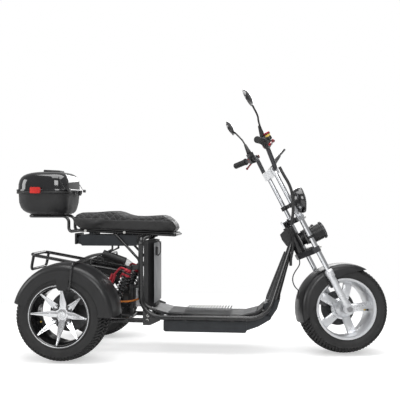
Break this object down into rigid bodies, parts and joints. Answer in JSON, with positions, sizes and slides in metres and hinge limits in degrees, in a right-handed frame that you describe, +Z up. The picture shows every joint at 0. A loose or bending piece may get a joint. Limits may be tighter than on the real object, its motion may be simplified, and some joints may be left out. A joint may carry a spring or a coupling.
{
  "type": "electric tricycle",
  "caption": "Step-through electric cargo tricycle with a steered front wheel, driven rear pair, long seat, tube rack and lidded top box.",
  "frame": {"origin": "on the ground, under the middle of the overall box", "axes": "+X forward, +Y to the vehicle's left, +Z up"},
  "size_m": [2.0509, 0.9838, 1.3891],
  "materials": {
    "black_frame": "gloss black paint",
    "black_plastic": "satin black moulding",
    "slate_plastic": "satin slate grey",
    "floor_rubber": "textured grey-black mat",
    "seat_leather": "black quilted leatherette",
    "box_base": "matte black",
    "box_lid": "gloss black",
    "red_lens": "red reflector",
    "silver": "machined silver",
    "steel": "brushed steel",
    "chrome": "polished",
    "bar_grey": "dark grey",
    "grip_rubber": "moulded rubber",
    "dark_red": "dark red anodised",
    "mirror": "mirror glass",
    "lamp_gloss": "gloss black shell",
    "lamp_glass": "clear lens",
    "tyre": "matte black tread rubber",
    "axle_black": "satin black",
    "caliper_grey": "grey with red face",
    "spring_black": "gloss black",
    "reservoir_red": "red anodised",
    "cable_black": "ribbed black sleeve",
    "cable_orange": "orange cable sleeve"
  },
  "bodies": {
    "frame": {"main_frame": "black_frame", "floor_panel": "black_plastic", "floor_mat": "floor_rubber", "battery_case": "slate_plastic", "belly_pan": "slate_plastic", "neck_cover": "black_plastic", "console_cover": "black_plastic", "seat_column": "slate_plastic", "seat_frame": "black_frame", "seat_pan": "black_frame", "seat_cushion": "seat_leather", "under_seat_box": "slate_plastic", "box_tray": "black_frame", "top_box_base": "box_base", "box_hinge": "black_plastic", "box_reflector": "red_lens", "rear_subframe": "black_frame", "drive_axle": "axle_black", "shock_dampers": "silver", "shock_springs": "spring_black", "shock_reservoirs": "reservoir_red", "centre_damper": "silver", "rear_rack": "black_frame", "canister": "axle_black", "rear_calipers": "axle_black", "rear_fenders": "black_plastic", "lower_loom": "cable_black", "motor_cable": "cable_orange"},
    "steering": {"bottom_yoke": "black_frame", "middle_clamp": "chrome", "fork_stanchions": "chrome", "fork_lowers": "silver", "front_axle": "steel", "front_caliper": "caliper_grey", "front_fender": "black_plastic", "risers": "bar_grey", "upper_clamp": "silver", "handlebar": "bar_grey", "grips": "grip_rubber", "switchgear": "black_plastic", "levers": "dark_red", "mirror_housings": "black_plastic", "mirror_glass": "mirror", "display": "black_plastic", "headlight_shell": "lamp_gloss", "headlight_lens": "lamp_glass", "spotlights": "black_plastic", "upper_loom": "cable_black", "brake_hose": "cable_black"},
    "front_wheel": {"front_tyre": "tyre", "front_rim": "silver", "front_disc": "steel"},
    "rear_wheel_right": {"rear_right_tyre": "tyre", "rear_right_rim": "silver", "rear_right_disc": "steel"},
    "rear_wheel_left": {"rear_left_tyre": "tyre", "rear_left_rim": "silver", "rear_left_disc": "steel"},
    "lid": {"top_box_lid": "box_lid"}
  },
  "joints": [
    {"name": "steering_turn", "type": "hinge", "parent": "frame", "child": "steering", "pos_m": [0.57, 0, 0.53], "axis": [-0.4587, 0, 0.8886], "range_deg": [-48, 22]},
    {"name": "front_wheel_spin", "type": "hinge", "parent": "steering", "child": "front_wheel", "pos_m": [0.78467, 0.0131, 0.23781], "axis": [-0.1999, 0.9744, -0.1032], "continuous": true},
    {"name": "rear_right_spin", "type": "hinge", "parent": "frame", "child": "rear_wheel_right", "pos_m": [-0.664, -0.364, 0.2385], "axis": [0, 1, 0], "continuous": true},
    {"name": "rear_left_spin", "type": "hinge", "parent": "frame", "child": "rear_wheel_left", "pos_m": [-0.664, 0.364, 0.2385], "axis": [0, 1, 0], "continuous": true},
    {"name": "lid_lift", "type": "hinge", "parent": "frame", "child": "lid", "pos_m": [-0.698, 0, 0.885], "axis": [0, 1, 0], "range_deg": [0, 85]}
  ]
}
